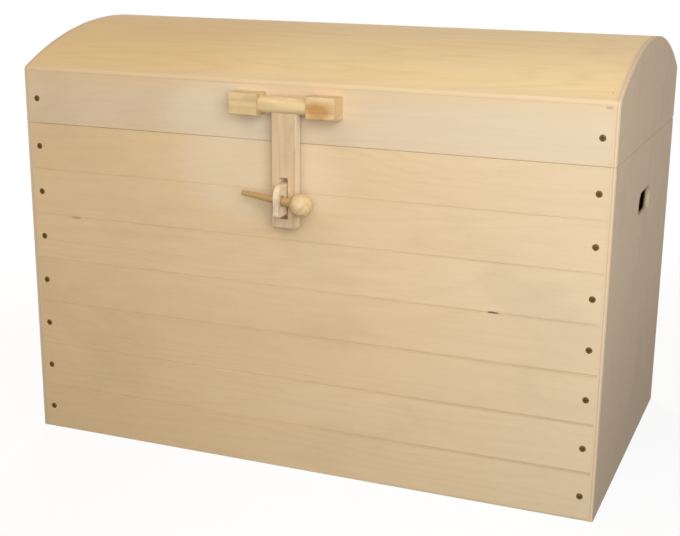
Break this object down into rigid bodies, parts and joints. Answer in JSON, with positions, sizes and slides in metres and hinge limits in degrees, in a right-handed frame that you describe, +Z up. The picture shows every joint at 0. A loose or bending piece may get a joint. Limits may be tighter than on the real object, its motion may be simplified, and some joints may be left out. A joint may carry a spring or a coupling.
{
  "type": "wooden treasure chest",
  "caption": "Boarded whitewood storage chest with plywood ends, hand holes, an arched hinged lid and a wooden hasp latch locked by a ball-ended peg.",
  "frame": {"origin": "middle of the base, on the floor", "axes": "+X to the right seen from the front, along the length; +Y to the back; +Z up"},
  "size_m": [0.7, 0.4476, 0.5],
  "materials": {
    "whitewood": "bare planed softwood",
    "birch_ply": "bare sanded birch plywood",
    "latch_wood": "bare sanded hardwood",
    "screw_steel": "bronzed steel, dull",
    "hinge_brass": "satin brass"
  },
  "bodies": {
    "chest": {"front_board_1": "whitewood", "front_board_2": "whitewood", "front_board_3": "whitewood", "front_board_4": "whitewood", "front_board_5": "whitewood", "front_board_6": "whitewood", "front_board_7": "whitewood", "back_board_1": "whitewood", "back_board_2": "whitewood", "back_board_3": "whitewood", "back_board_4": "whitewood", "back_board_5": "whitewood", "back_board_6": "whitewood", "back_board_7": "whitewood", "left_end_panel": "birch_ply", "right_end_panel": "birch_ply", "corner_batten_front_left": "whitewood", "corner_batten_front_right": "whitewood", "corner_batten_back_left": "whitewood", "corner_batten_back_right": "whitewood", "bottom_panel": "birch_ply", "bottom_cleat_front": "whitewood", "bottom_cleat_back": "whitewood", "bottom_cleat_left": "whitewood", "bottom_cleat_right": "whitewood", "front_screws": "screw_steel", "back_screws": "screw_steel", "bottom_screws": "screw_steel", "hasp_staple": "latch_wood", "hinge_lower_leaf_left": "hinge_brass", "hinge_lower_leaf_right": "hinge_brass", "hinge_pin_left": "hinge_brass", "hinge_pin_right": "hinge_brass", "hinge_lower_screws": "hinge_brass"},
    "lid": {"lid_front_board": "whitewood", "lid_back_board": "whitewood", "lid_left_gable": "birch_ply", "lid_right_gable": "birch_ply", "lid_left_rib": "whitewood", "lid_right_rib": "whitewood", "lid_top_sheet": "birch_ply", "lid_screws": "screw_steel", "top_sheet_pins": "screw_steel", "hinge_upper_leaf_left": "hinge_brass", "hinge_upper_leaf_right": "hinge_brass", "hinge_upper_screws": "hinge_brass", "hasp_block_left": "latch_wood", "hasp_block_right": "latch_wood", "hasp_block_screws": "screw_steel"},
    "hasp": {"hasp_bar": "latch_wood", "hasp_strap": "latch_wood"},
    "peg": {"locking_peg": "latch_wood", "peg_knob": "latch_wood"}
  },
  "joints": [
    {"name": "lid_hinge", "type": "hinge", "parent": "chest", "child": "lid", "pos_m": [0, 0.1982, 0.38515], "axis": [-1, 0, 0], "range_deg": [0, 105]},
    {"name": "hasp_swing", "type": "hinge", "parent": "lid", "child": "hasp", "pos_m": [-0.006, -0.212, 0.427], "axis": [-1, 0, 0], "range_deg": [0, 194]},
    {"name": "peg_slide", "type": "slide", "parent": "chest", "child": "peg", "axis": [0.9768, -0.2076, -0.0523], "range_m": [0, 0.065]}
  ]
}
